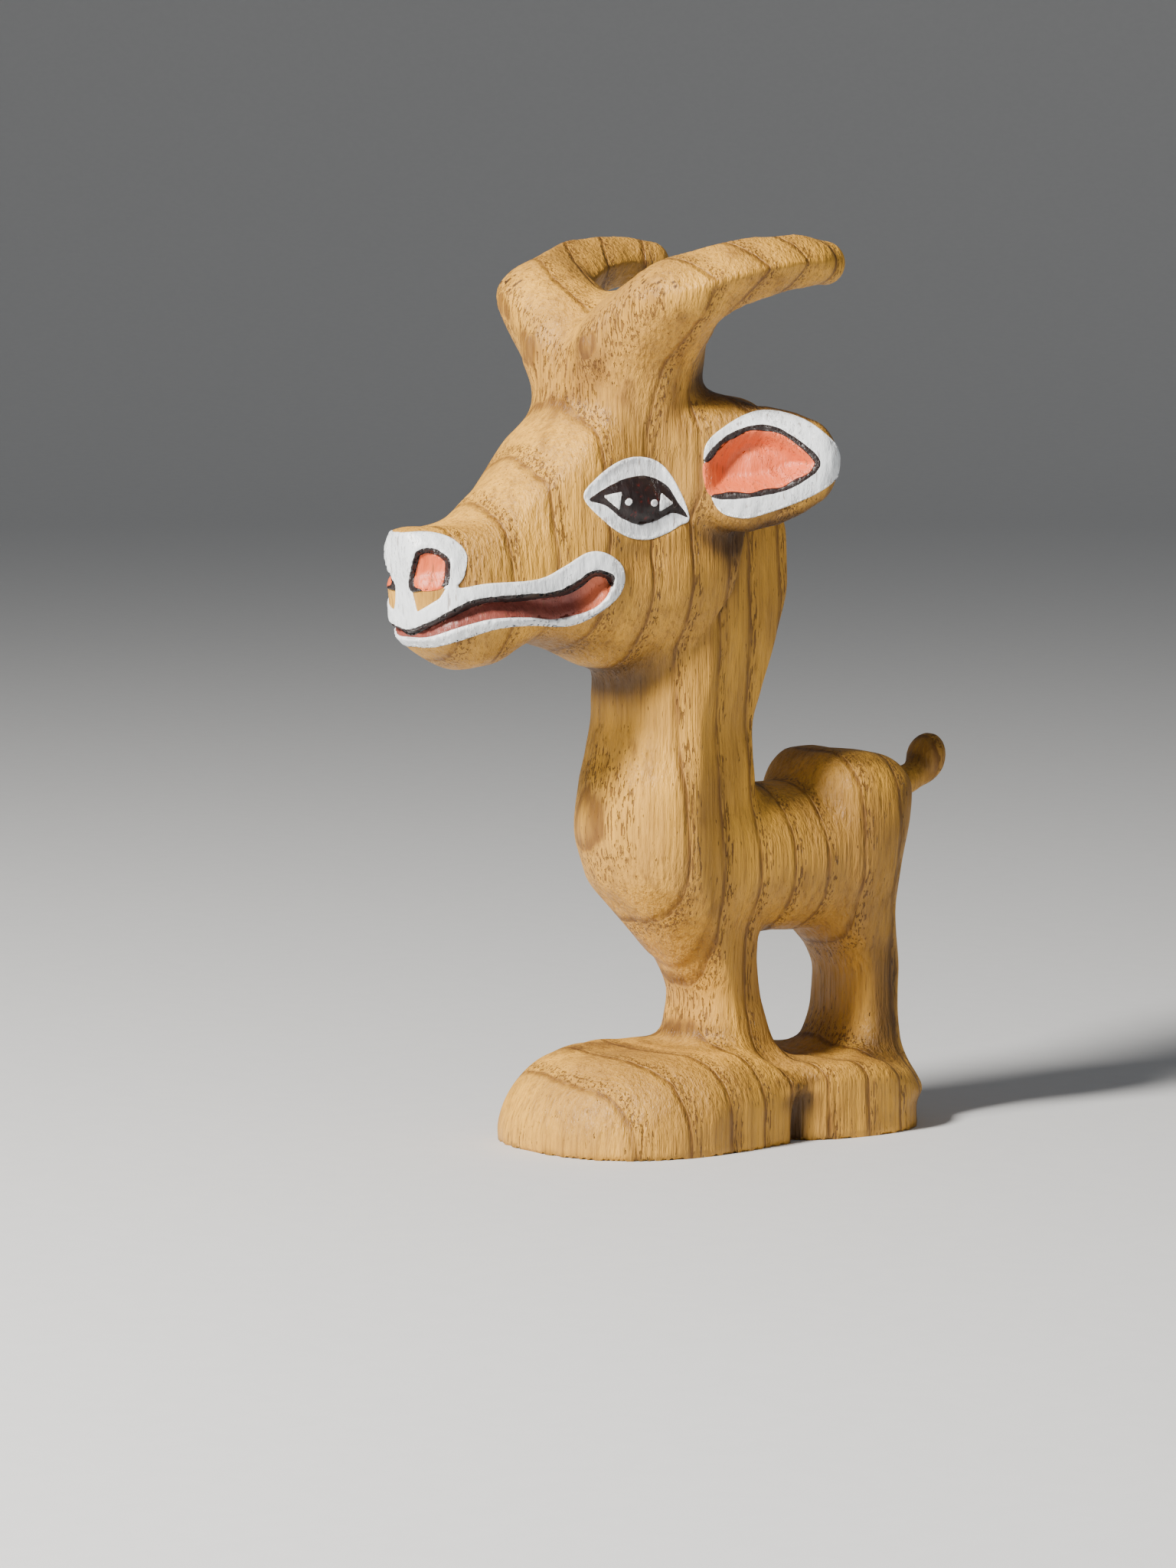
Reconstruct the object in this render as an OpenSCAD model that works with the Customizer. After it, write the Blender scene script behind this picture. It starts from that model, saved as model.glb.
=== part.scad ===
// Small carved and painted wooden animal: one block of wood and the coats of thick paint on its face.
// It stands on its feet at z = 0, faces -Y, and its own left side is +X. All sizes are in millimetres.

/* [Feet and legs] */
// Half width of the broad front foot
foot_half = 14.2; // [13:0.1:15.5]
// Height of the front foot
foot_h = 9.9; // [9:0.1:11]
// Height of the hind foot
heel_h = 8.2; // [7:0.1:9]
// Half width of the front leg at the ankle
ankle_half = 5.7; // [5:0.1:6.5]
// Half width of the hind leg at the hock
hock_half = 6; // [5:0.1:7]

/* [Body] */
// Half width of the neck
neck_half = 8.6; // [8:0.1:9.2]
// Half depth of the chest, front to back
chest_deep = 9.7; // [9:0.1:10.2]
// Half width of the barrel between the legs
barrel_half = 8.2; // [7.5:0.1:8.8]
// Height of the rump
rump_h = 41.4; // [40:0.1:43]

/* [Head] */
// Half width of the head across the cheeks
cheek_half = 10; // [9.5:0.1:10.5]
// Half width of the muzzle
muzzle_half = 6.6; // [6:0.1:7.2]
// Reach of the nose in front of the origin
nose_reach = 34.9; // [34:0.1:36]
// Height of the middle of the horns' outer stretch
horn_z = 95.8; // [94:0.1:97]
// Distance of each horn tip from the middle plane
horn_out = 16.4; // [15:0.1:18]
// Distance of each ear tip from the middle plane
ear_out = 19.4; // [18:0.1:21]

/* [Paint and carved pockets] */
// Thickness of the paint
paint_t = 0.25; // [0.2:0.01:0.35]
// Width of a black brush line
line_w = 0.9; // [0.6:0.05:1.1]
// Depth of the mouth
mouth_deep = 1; // [0.6:0.1:1.4]
// Depth of the nostrils
nostril_deep = 0.8; // [0.5:0.1:1.2]
// Depth of the ear's cup
cup_deep = 1; // [0.6:0.1:1.3]

/* [Hidden] */

// Points round a lofted section, and rings between two stations
ring_points = 22;
ring_steps = 2;
// Direction that the face is painted from, round from the nose to the side
face_turn = 55;
// Reach of an outline's prism past the wood, and where it starts for an ear
prism_reach = 45;
ear_middle = 9.2;
wood_color = [0.76, 0.58, 0.35];
white_color = [0.93, 0.94, 0.95];
black_color = [0.10, 0.07, 0.08];
pink_color = [0.93, 0.52, 0.42];
lining_color = [0.62, 0.33, 0.31];

// A station is [centre y, centre z, half width, half depth on the low side, half depth on the high side].
// Level sections, from the sole up: front leg, chest and neck
column = [
  [7.8, 3, 10, 8.5, 8.5],
  [7.4, 8, 8.2, 6.8, 6.8],
  [6.9, 12, ankle_half + 0.5, 5.1, 5.1],
  [6.6, 16, ankle_half, 4.4, 4.4],
  [5.2, 20, ankle_half + 0.5, 5.4, 5.4],
  [2.6, 25.5, neck_half - 0.7, 7.7, 7.7],
  [0.4, 32, neck_half + 0.5, chest_deep - 0.1, chest_deep - 0.1],
  [0.2, 38, neck_half + 0.4, chest_deep - 0.2, chest_deep - 0.2],
  [1, 45.5, neck_half - 0.1, 8.6, 8.6],
  [2, 51, neck_half, 9, 9],
  [4.2, 58, neck_half, 9.2, 9.2],
  [4.7, 66, neck_half - 0.2, 9.4, 9.4],
  [3, 76, 6.5, 7, 7]
];
// Level sections, from the sole up: hind leg and rump
haunch = [
  [24.4, 3, 10, 7, 7],
  [25.1, 7.5, 7.8, 5, 5],
  [26.2, 12.5, hock_half + 0.2, 3.4, 3.4],
  [26.5, 17, hock_half, 3.5, 3.5],
  [24.8, 21.5, hock_half + 0.7, 4.8, 4.8],
  [23.2, 28, hock_half + 2.2, 6.2, 6.2],
  [23.4, 34, hock_half + 3, 6.8, 6.8],
  [23.9, 38.5, hock_half + 2.3, 6.5, 6.5],
  [24, rump_h, hock_half - 1.5, 3.6, 3.6]
];
// Upright sections, from the chest back: the barrel
barrel = [
  [2, 30.5, barrel_half - 1.7, 8, 8],
  [9.6, 30.4, barrel_half, 8.3, 8.2],
  [16.4, 30.4, barrel_half - 0.2, 8.3, 8.2],
  [25, 31, barrel_half - 3.1, 6.1, 7.3]
];
// Upright sections, from the nose back: the head
head = [
  [-nose_reach, 62.6, muzzle_half - 2.2, 4.2, 3.6],
  [-nose_reach + 1.6, 61.9, muzzle_half - 0.7, 6, 5],
  [-31, 61.2, muzzle_half, 7.2, 6.5],
  [-27, 60.7, muzzle_half + 0.7, 8.1, 8.9],
  [-23, 62.4, muzzle_half + 1.4, 9, 10.4],
  [-19, 65.4, cheek_half - 1.1, 10.7, 12.3],
  [-13, 66.4, cheek_half - 0.2, 13.2, 14.1],
  [-6, 66.4, cheek_half, 14.7, 15.2],
  [1, 66.6, cheek_half - 0.2, 13.8, 15],
  [7, 67, cheek_half - 1.2, 11, 13],
  [12.5, 67.2, cheek_half - 4.2, 6, 8]
];
// Balls down a limb: [centre x, y, z, half width, half depth, half height]
horn = [
  [3, -6.5, 80, 7.6, 7.2, 5.5],
  [6.2, -7.1, 86.4, 6.6, 6, 5.4],
  [12, -7.1, horn_z - 5, 5, 5, 4.2],
  [15, -3.6, horn_z - 2.4, 4.3, 4.4, 3.7],
  [horn_out, 1.8, horn_z - 0.6, 3.5, 3.5, 3.1],
  [horn_out + 0.3, 6.2, horn_z, 2.8, 2.8, 2.7],
  [horn_out, 9.8, horn_z + 0.1, 2.1, 2.1, 2.1]
];
ear_turn = 47;
ear = [
  [7.2, -3.2, 73.6, 3.6, 4.2, 4.6],
  [10.8, 0.6, 74, 4, 3.2, 6.6],
  [14.2, 4.4, 74.4, 4, 2.8, 6.2],
  [ear_out - 2.6, 7.4, 74.8, 2.6, 2, 3.6],
  [ear_out - 1, 9.2, 75, 1.6, 1.3, 1.6]
];
tail = [
  [0, 29.6, 36.4, 2.2, 2, 1.9],
  [0, 34.6, 37.8, 1.9, 1.6, 1.6],
  [0, 36.2, 40, 2.7, 1.9, 2.8]
];

// Outlines on the face, seen from face_turn: [distance along, height]
muzzle_edge = [[-31, 67], [-28, 67.4], [-25, 67.5], [-22.6, 66.8], [-21.1, 65.2], [-21.3, 63], [-21.9, 61.7],
  [-19, 62.1], [-13.7, 62.4], [-11, 63.6], [-8.4, 65.1], [-6.4, 65], [-4.7, 63.6], [-4.5, 61.6],
  [-5.6, 59.8], [-8.4, 57.9], [-11, 57.2], [-14.6, 57.5], [-18.2, 57.2], [-22.7, 55.8], [-25.5, 55.2],
  [-28, 55.6], [-31, 56.2]];
mouth_top = [[-31, 57], [-27.6, 57], [-24.8, 58.1], [-21.7, 59.8], [-19.6, 60.5], [-15.4, 60.8], [-11.9, 61],
  [-9.6, 62], [-7.9, 63.1], [-6.2, 62.9], [-5.6, 62.1]];
mouth_bottom = [[-6.4, 60.2], [-8.3, 58.9], [-11.9, 58.2], [-14.6, 58.6], [-18.2, 58.6], [-21.7, 57.8],
  [-25, 56.4], [-27.6, 56.2], [-31, 56.4]];
nostril_edge = [[-26.9, 61.4], [-26.6, 64.9], [-25.9, 65.7], [-24.6, 65.8], [-23.3, 65.1], [-22.8, 64], [-23.5, 61.4]];
bare_wedge = [[-26.9, 61.5], [-23.5, 61.5], [-24.2, 60.6], [-26.2, 59.2]];
eye_edge = [[-8.8, 70.9], [-7.4, 73], [-5, 74.7], [-2.6, 75.1], [-0.4, 74.2], [1.4, 71.6], [2.5, 68.5],
  [1.4, 67.7], [0, 66.9], [-2, 66.3], [-4.2, 66.7], [-6.4, 68.2]];
eye_black_edge = [[-8.4, 70.6], [-6.6, 71.9], [-4.4, 72.9], [-2.1, 73.1], [0, 72.1], [1.2, 70.4], [2.4, 68.5],
  [0.6, 69], [-1.2, 68.2], [-3.1, 67.9], [-5, 68.7], [-6.6, 70]];
eye_corner_edges = [[[-6.6, 71], [-4.9, 71.3], [-5.1, 69.7]], [[-0.6, 71.1], [0.5, 70.1], [-0.8, 69.4]]];
catchlights = [[-4.1, 70.4], [-1.4, 70.2]];
catchlight_r = 0.34;
ear_edge = [[4, 75.6], [6.4, 78.4], [10.3, 80], [14.6, 78.9], [18, 75.6], [18.4, 73.9], [15.4, 71.1], [11, 69.2],
  [8.2, 68.7], [5.2, 70.3]];
ear_cup_edge = [[4.2, 75], [6.5, 77.3], [10, 78.4], [13, 77.5], [16.4, 74.5], [13.8, 72], [9.8, 70.9], [5.2, 70.7],
  [4, 72.6]];

// Catmull-Rom value at t between the second and third of four values
function blend(a, b, c, d, t) =
  b + t * (c - a) / 2 + t * t * (a - 2.5 * b + 2 * c - d / 2) + t * t * t * (1.5 * (b - c) + (d - a) / 2);
// Stations with more set between them on a smooth curve
function smooth(s) = concat(
  [for (i = [0 : len(s) - 2], k = [0 : ring_steps - 1])
    blend(s[max(i - 1, 0)], s[i], s[i + 1], s[min(i + 2, len(s) - 1)], k / ring_steps)],
  [s[len(s) - 1]]);
// Coordinate on a rounded oval between an ellipse (power 2) and a box
function oval(c, power) = sign(c) * pow(abs(c), 2 / power);
// One ring of points: level sections for upright = false, and all sizes grown by g
function ring(s, upright, power, g) = [for (i = [0 : ring_points - 1])
  let(a = (upright ? -360 : 360) * i / ring_points, side = sin(a), v = oval(side, power) * ((side < 0 ? s[3] : s[4]) + g))
  [oval(cos(a), power) * (s[2] + g), s[0] + (upright ? 0 : v), s[1] + (upright ? v : 0)]];
// Closed side faces between the rings, with a cap at each end
function skin_faces(rings) = concat(
  [for (k = [0 : rings - 2], i = [0 : ring_points - 1], half = [0, 1])
    let(j = (i + 1) % ring_points, a = k * ring_points, b = a + ring_points)
    half == 0 ? [a + i, b + i, b + j] : [a + i, b + j, a + j]],
  [[for (i = [0 : ring_points - 1]) i]],
  [[for (i = [ring_points - 1 : -1 : 0]) (rings - 1) * ring_points + i]]);

module loft(stations, upright, power, g = 0) {
  s = smooth(stations);
  n = len(s);
  // The two end rings move out by g along the loft
  moved = [for (k = [0 : n - 1])
    let(e = k == 0 ? -g : k == n - 1 ? g : 0)
    [s[k][0] + (upright ? e : 0), s[k][1] + (upright ? 0 : e), s[k][2], s[k][3], s[k][4]]];
  points = [for (k = [0 : n - 1]) each ring(moved[k], upright, power, g)];
  polyhedron(points, skin_faces(n), convexity = 6);
}

module ball(s, g = 0) {
  translate([s[0], s[1], s[2]])
    scale([s[3] + g, s[4] + g, s[5] + g])
      sphere(1, $fn = 16);
}

module limb(stations) {
  for (i = [0 : len(stations) - 2])
    hull() {
      ball(stations[i]);
      ball(stations[i + 1]);
    }
}

// An ear is a row of flat discs turned to face forwards and out
module ear_disc(s, g) {
  translate([s[0], s[1], s[2]])
    rotate([0, 0, ear_turn])
      scale([s[3] + g, s[4] + g, s[5] + g])
        sphere(1, $fn = 20);
}

module ear_leaf(g = 0) {
  for (i = [0 : len(ear) - 2])
    hull() {
      ear_disc(ear[i], g);
      ear_disc(ear[i + 1], g);
    }
}

module head_form(g = 0) {
  loft(head, true, 2.25, g);
}

// A flat shape on the face, drawn out through the left side of the head
module face_prism(start = 0) {
  intersection() {
    rotate([90, 0, face_turn])
      translate([0, 0, start])
        linear_extrude(prism_reach)
          children();
    translate([0, -60, 40])
      cube([40, 80, 60]);
  }
}

// Everything inside becomes one closed skin of small flat faces, at its own size
module one_skin() {
  resize([0, 0, 0])
    union()
      children();
}

module on_right() {
  mirror([1, 0, 0])
    children();
}

module both_sides() {
  children();
  on_right()
    children();
}

module rounded(points, r = 0.25) {
  offset(r = r, $fn = 8)
    offset(delta = -r)
      polygon(points);
}

// Line of brush width down the inner edge of a shape
module inner_line(points, w) {
  difference() {
    rounded(points);
    offset(delta = -w)
      polygon(points);
  }
}

// Round-ended brush stroke through a row of points
module stroke(points, w) {
  for (i = [0 : len(points) - 2])
    hull() {
      translate(points[i])
        circle(w / 2, $fn = 12);
      translate(points[i + 1])
        circle(w / 2, $fn = 12);
    }
}

module mouth_shape() {
  rounded(concat(mouth_top, mouth_bottom), 0.2);
}

module mouth_line_shape() {
  intersection() {
    mouth_shape();
    stroke(mouth_top, line_w * 1.6);
  }
}

// The nostril's line is an arch, open at the bottom
module nostril_line_shape() {
  difference() {
    inner_line(nostril_edge, line_w * 0.75);
    translate(nostril_edge[0] - [1, 1])
      square([6, 2]);
  }
}

// Coat of paint on the head, on the floor of a pocket of the given depth
module head_coat(depth = 0) {
  intersection() {
    difference() {
      head_form(paint_t - depth);
      head_form(-depth);
    }
    face_prism()
      children();
  }
}

// Pocket cut into the head to the given depth
module head_pocket(depth) {
  difference() {
    face_prism()
      children();
    head_form(-depth);
  }
}

// Pocket cut into the front of the ear
module ear_cup() {
  difference() {
    face_prism(ear_middle)
      rounded(ear_cup_edge);
    ear_leaf(-cup_deep);
  }
}

// Coat of paint on the front of the ear, on the floor of a pocket of the given depth
module ear_coat(depth = 0) {
  difference() {
    intersection() {
      ear_leaf(paint_t - depth);
      face_prism(ear_middle)
        children();
    }
    ear_leaf(-depth);
    head_form();
    shoulder();
  }
}

module cup_line_shape() {
  inner_line(ear_cup_edge, line_w * 0.8);
}

// Shoulder of wood between horn and ear
module shoulder() {
  ball([6, 2, 77, 4.2, 6.5, 4.4]);
}

module carved_form() {
  loft(column, false, 2.3);
  loft(haunch, false, 2.6);
  loft(barrel, true, 2.2);
  head_form();
  both_sides() {
    limb(horn);
    ear_leaf();
    shoulder();
  }
  limb(tail);
  // Front foot, hind foot and the web between them
  loft([[-3, 0, foot_half, 14.6, 13], [-3, 4, foot_half - 0.3, 14.2, 13], [-2.6, 7, foot_half - 1.7, 12.4, 12.4],
    [-2, foot_h - 0.9, foot_half - 4.4, 9, 11], [-1.6, foot_h, foot_half - 7, 6, 9]], false, 2.6);
  loft([[19, 0, 12.4, 9.4, 12], [19, 4.2, 12.3, 9.4, 11.8], [19, 6.4, 11.6, 9, 9],
    [19, heel_h, 9.6, 8, 6]], false, 2.5);
  translate([-8, 4, 0])
    cube([16, 12, heel_h - 0.5]);
}

module carved_body() {
  color(wood_color)
    one_skin()
      difference() {
        carved_form();
        both_sides() {
          head_pocket(mouth_deep)
            mouth_shape();
          head_pocket(nostril_deep)
            rounded(nostril_edge);
          ear_cup();
        }
        // The sole is planed flat
        translate([-50, -50, -20])
          cube([100, 100, 20]);
      }
}

module muzzle_outline() {
  color(white_color)
    one_skin()
      both_sides()
        head_coat()
          difference() {
            rounded(muzzle_edge);
            mouth_shape();
            polygon(nostril_edge);
            polygon(bare_wedge);
          }
}

module mouth_line() {
  color(black_color)
    one_skin()
      both_sides()
        head_coat(mouth_deep)
          mouth_line_shape();
}

module mouth_lining() {
  color(lining_color)
    one_skin()
      both_sides()
        head_coat(mouth_deep)
          difference() {
            mouth_shape();
            mouth_line_shape();
          }
}

module left_nostril_line() {
  color(black_color)
    one_skin()
      head_coat(nostril_deep)
        nostril_line_shape();
}

module left_nostril_lining() {
  color(pink_color)
    one_skin()
      head_coat(nostril_deep)
        difference() {
          rounded(nostril_edge);
          nostril_line_shape();
        }
}

module left_eye_surround() {
  color(white_color)
    one_skin()
      head_coat()
        difference() {
          rounded(eye_edge);
          polygon(eye_black_edge);
        }
}

module left_eye_black() {
  color(black_color)
    one_skin()
      head_coat()
        difference() {
          polygon(eye_black_edge);
          for (p = eye_corner_edges)
            polygon(p);
          for (p = catchlights)
            translate(p)
              circle(catchlight_r, $fn = 12);
        }
}

module left_eye_corners() {
  color(white_color)
    one_skin()
      head_coat()
        for (p = eye_corner_edges)
          polygon(p);
}

module left_eye_catchlights() {
  color(white_color)
    one_skin()
      head_coat()
        for (p = catchlights)
          translate(p)
            circle(catchlight_r, $fn = 12);
}

module left_ear_rim() {
  color(white_color)
    one_skin()
      ear_coat()
        difference() {
          rounded(ear_edge);
          rounded(ear_cup_edge);
        }
}

module left_ear_line() {
  color(black_color)
    one_skin()
      ear_coat(cup_deep)
        cup_line_shape();
}

module left_ear_lining() {
  color(pink_color)
    one_skin()
      ear_coat(cup_deep)
        difference() {
          rounded(ear_cup_edge);
          cup_line_shape();
        }
}

carved_body();
muzzle_outline();
mouth_line();
mouth_lining();
left_nostril_line();
on_right() left_nostril_line();  // right_nostril_line
left_nostril_lining();
on_right() left_nostril_lining();  // right_nostril_lining
left_eye_surround();
on_right() left_eye_surround();  // right_eye_surround
left_eye_black();
on_right() left_eye_black();  // right_eye_black
left_eye_corners();
on_right() left_eye_corners();  // right_eye_corners
left_eye_catchlights();
on_right() left_eye_catchlights();  // right_eye_catchlights
left_ear_rim();
on_right() left_ear_rim();  // right_ear_rim
left_ear_line();
on_right() left_ear_line();  // right_ear_line
left_ear_lining();
on_right() left_ear_lining();  // right_ear_lining
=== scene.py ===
"""Looks of a small carved and painted wooden animal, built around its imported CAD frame."""
import math

import bpy
import numpy as np
from bpy.props import FloatProperty, FloatVectorProperty, PointerProperty
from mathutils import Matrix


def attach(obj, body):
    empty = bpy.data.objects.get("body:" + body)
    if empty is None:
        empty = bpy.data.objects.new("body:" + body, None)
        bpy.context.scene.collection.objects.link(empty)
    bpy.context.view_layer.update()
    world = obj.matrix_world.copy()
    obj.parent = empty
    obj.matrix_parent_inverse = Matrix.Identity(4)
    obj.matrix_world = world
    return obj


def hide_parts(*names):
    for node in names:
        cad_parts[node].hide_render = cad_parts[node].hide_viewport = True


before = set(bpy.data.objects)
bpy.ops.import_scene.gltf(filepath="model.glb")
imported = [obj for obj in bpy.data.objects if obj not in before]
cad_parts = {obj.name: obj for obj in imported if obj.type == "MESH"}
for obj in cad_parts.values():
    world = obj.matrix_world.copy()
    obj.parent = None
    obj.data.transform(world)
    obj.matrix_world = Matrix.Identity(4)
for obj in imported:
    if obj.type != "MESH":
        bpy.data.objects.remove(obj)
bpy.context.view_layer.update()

bl_info = {
    "name": "Carved Animal Looks",
    "version": (1, 0, 0),
    "blender": (4, 5, 0),
    "location": "3D View > Sidebar > Carving",
    "description": "Builds the wood and the paint of a small carved animal on its CAD frame",
    "category": "Object",
}

# Lengths below are in millimetres, and meshes are made in metres.
MM = 0.001
# The face is painted from this direction, round from the nose to the left side.
FACE_TURN = math.radians(55)
FACE_C, FACE_S = math.cos(FACE_TURN), math.sin(FACE_TURN)
# Height of the figure against the tables' own heights.
STRETCH = 1.006
# Cell size of the grid that the skin is drawn on: round the head, and below and behind it.
HEAD_GRID, BODY_GRID = 0.40, 0.60
# Width of one growth ring of the wood.
RING_WIDTH = 5.1
# Points lower than this belong to the flat sole.
SOLE_HEIGHT = 0.28

# Level sections: height, middle y, half width, half depth.
COLUMN = [(4, 7.8, 10.5, 8.5), (7.5, 7.6, 8.6, 7.0), (10, 7.2, 7.0, 5.7), (12.3, 6.9, 6.2, 5.0),
          (15.7, 6.6, 5.7, 4.4), (19, 5.6, 6.0, 5.0), (22.3, 4.3, 6.8, 6.4), (25.6, 2.5, 7.9, 7.8),
          (28.9, .9, 8.8, 9.2), (33.9, .1, 9.2, 9.7), (38.9, .3, 9.0, 9.4), (42.2, .6, 8.7, 8.8),
          (45.5, 1.0, 8.5, 8.6), (49, 1.6, 8.6, 9.0), (55, 3.7, 8.7, 9.0), (61, 4.7, 8.6, 9.4),
          (66, 4.6, 8.4, 9.4), (72, 3, 8, 8), (76, 2, 6.5, 7)]
HAUNCH = [(4, 24.4, 10, 7), (7, 25.0, 8.0, 5.3), (9.5, 25.8, 6.8, 3.9), (13, 26.3, 6.2, 3.3),
          (16.5, 26.5, 6.0, 3.4), (19, 25.9, 6.1, 3.9), (21.5, 24.6, 6.7, 4.9), (25, 23.6, 7.4, 5.6),
          (29, 23.0, 8.4, 6.4), (34, 23.4, 9.0, 6.8), (37, 23.8, 8.8, 6.9), (41.4, 24.0, 7.2, 5.8)]
# Upright sections: y, middle height, half width, half height below and above the middle.
BARREL = [(2, 30.5, 7.5, 8.0, 8.0), (8, 30.3, 8.0, 8.3, 8.2), (14, 30.2, 8.2, 8.3, 8.1),
          (20, 30.2, 8.2, 8.2, 8.4), (26, 31, 8, 7, 8)]
HEAD = [(-35.0, 63.4, 1.7, 4.0, 3.8), (-34.5, 62.9, 2.6, 4.8, 4.8), (-33.7, 62.2, 3.6, 5.6, 5.6),
        (-32.6, 61.7, 4.7, 6.4, 6.3), (-31, 61.0, 5.9, 7.2, 7.0), (-27.5, 60.4, 7.2, 8.1, 8.4),
        (-25, 61.0, 7.6, 8.5, 9.3), (-21.6, 63.0, 8.0, 9.4, 12.7), (-19.3, 64.8, 8.4, 10.5, 13.9),
        (-17, 65.6, 8.9, 11.6, 14.4), (-13, 66, 9.8, 13.2, 14.5), (-8, 66, 10.0, 14.5, 15.3),
        (-2, 66, 10.2, 14.4, 15.9), (4, 66.5, 10.0, 12.6, 14.4), (9, 67, 8.6, 9, 11.5), (13, 67, 5.5, 5, 7)]
# Horn line: centre and half sizes, from the brow to the tip.
HORN = [(0, -6.6, 80.8, 10.6, 7.4, 6.4), (5.6, -7.3, 86.5, 7.0, 6.4, 5.2), (11.7, -7.4, 91.0, 5.2, 5.4, 4.0),
        (14.7, -3.6, 93.4, 4.5, 4.6, 3.6), (16.2, 1.3, 94.7, 3.7, 3.7, 3.1), (16.6, 5.8, 95.2, 3.0, 3.0, 2.7),
        (16.1, 9.2, 95.1, 2.3, 2.4, 2.3)]
# Rounded lumps: centre and half sizes.
HORN_SADDLES = [((0, -8.2, 82.6), (8.6, 5.4, 6.8)), ((0, -3.8, 85.2), (8.4, 5.8, 7.2))]
TEMPLE = ((8.2, 0.5, 76.6), (4.2, 7.5, 4.6))
TAIL_KNOB = ((0, 36.3, 39.9), (2.8, 1.8, 2.8))
TAIL_STEM = ((0, 32.4, 37.2), (2.2, 4.2, 1.7))
FEET_BRIDGE = ((0, 9.5, 6.0), (11.6, 4.6, 2.3))
# Sizes that change along the form: places, then sizes.
JAW_BACK = ([54, 57, 60, 66, 70, 74], [-3, -.5, 2.2, 3.4, 5.5, 13])
RUMP_TOP = ([14, 17, 20.5, 24, 28, 32, 34], [38.4, 40.6, 41.7, 41.5, 40.5, 39.2, 38.6])
EAR_TALL = ([-9, -7, -4, -1, 2, 5, 7.5, 9.2], [3.4, 4.8, 6.2, 6.7, 6.3, 5.3, 4.1, 3.1])
EAR_DEEP = ([-9, 0, 9.2], [3.8, 3.2, 1.6])
FOOT_FLANK = ([-4, 2, 6, 10, 14], [14.3, 13.4, 12.3, 11.3, 10.8])
FOOT_ROUNDING = ([-18, -10, 0], [9.6, 9., 6.])
HIND_FOOT_TOP = ([10, 22, 27, 32], [8.2, 8.0, 6.3, 4.4])
# Places of level and upright cuts, and of the straight cuts on the head.
FOOT_TOP = 10.1
LEG_BOTTOM = 4
NECK_TOP = 76
BARREL_ENDS = (2, 26)
BRIDGE_REACH = 69.0
NOSE_TOP = 67.5
NOSE_FRONT = -34.5
BROW_PLACE = (-19.4, 74.7)
HEAD_BACK = 13
EAR_ENDS = (-9, 9.4)
# Depths of the carving on the face and in the ears, and how far the skin swells beside it.
MOUTH_DEPTH, LIP_SWELL = 1.25, 0.28
NOSTRIL_DEPTH, NOSTRIL_SWELL = 1.0, 0.22
EYE_HOLLOW, EYEBALL_RISE = 0.34, 0.42
EAR_DEPTH = 2.0
# Soft hollows of the face, as depth, place and size along it, height and size in height: in front
# of the eye, the brow's swell, under the eye, the jaw's round muscle and under the mouth.
FACE_HOLLOWS = [(0.8, -13.4, 4.6, 70.4, 4.2), (-0.25, -8.5, 5.5, 77.0, 1.5), (0.35, -3, 4, 64.6, 1.6),
                (-0.7, 2.2, 4.6, 60.6, 5.2), (0.5, -12, 9, 55.2, 1.8)]

# Outlines on the face: distance along it and height.
MUZZLE = [(-31, 67), (-28, 67.4), (-25, 67.5), (-22.6, 66.8), (-21.1, 65.2), (-21.3, 63), (-21.9, 61.7),
          (-19, 62.1), (-13.7, 62.4), (-11, 63.6), (-8.4, 65.1), (-6.4, 65), (-4.7, 63.6), (-4.5, 61.6),
          (-5.6, 59.8), (-8.4, 57.9), (-11, 57.2), (-14.6, 57.5), (-18.2, 57.2), (-22.7, 55.8),
          (-25.5, 55.2), (-28, 55.6), (-31, 56.2)]
MOUTH_TOP = [(-31, 57), (-27.6, 57), (-24.8, 58.1), (-21.7, 59.8), (-19.6, 60.5), (-15.4, 60.8),
             (-11.9, 61), (-9.6, 62), (-7.9, 63.1), (-6.2, 62.9), (-5.6, 62.1)]
MOUTH_BOTTOM = [(-6.4, 60.2), (-8.3, 58.8), (-11.9, 58.0), (-14.6, 58.3), (-18.2, 58.3), (-21.7, 57.5),
                (-25, 56.4), (-27.6, 56.2), (-31, 56.4)]
NOSTRIL = [(-26.9, 61.4), (-26.6, 64.9), (-25.9, 65.7), (-24.6, 65.8), (-23.3, 65.1), (-22.8, 64),
           (-23.5, 61.4)]
WEDGE = [(-27.0, 61.8), (-23.3, 61.6), (-23.9, 60.6), (-26.3, 59.1)]
EYE = [(-8.8, 70.9), (-7.4, 73), (-5, 74.7), (-2.6, 75.1), (-0.4, 74.2), (1.4, 71.6), (2.5, 68.5),
       (1.4, 67.7), (0, 66.9), (-2, 66.3), (-4.2, 66.7), (-6.4, 68.2)]
EYE_BLACK = [(-8.4, 70.6), (-6.6, 71.9), (-4.4, 72.9), (-2.1, 73.1), (0, 72.1), (1.2, 70.4), (2.4, 68.5),
             (0.6, 69), (-1.2, 68.2), (-3.1, 67.9), (-5, 68.7), (-6.6, 70)]
EYE_CORNERS = [[(-6.6, 71), (-4.9, 71.3), (-5.1, 69.7)], [(-0.6, 71.1), (0.5, 70.1), (-0.8, 69.4)]]
CATCHLIGHTS = [(-4.1, 70.4), (-1.4, 70.2)]
CATCHLIGHT_R = 0.42
IRIS, IRIS_R = (-2.7, 70.3), 2.1
EAR = [(4, 75.6), (6.4, 78.4), (10.3, 80), (14.8, 79.0), (18.2, 76.3), (18.9, 74.2), (17.9, 72.4),
       (15.2, 70.7), (11, 69.1), (8.0, 68.5), (5.2, 69.9)]
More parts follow.
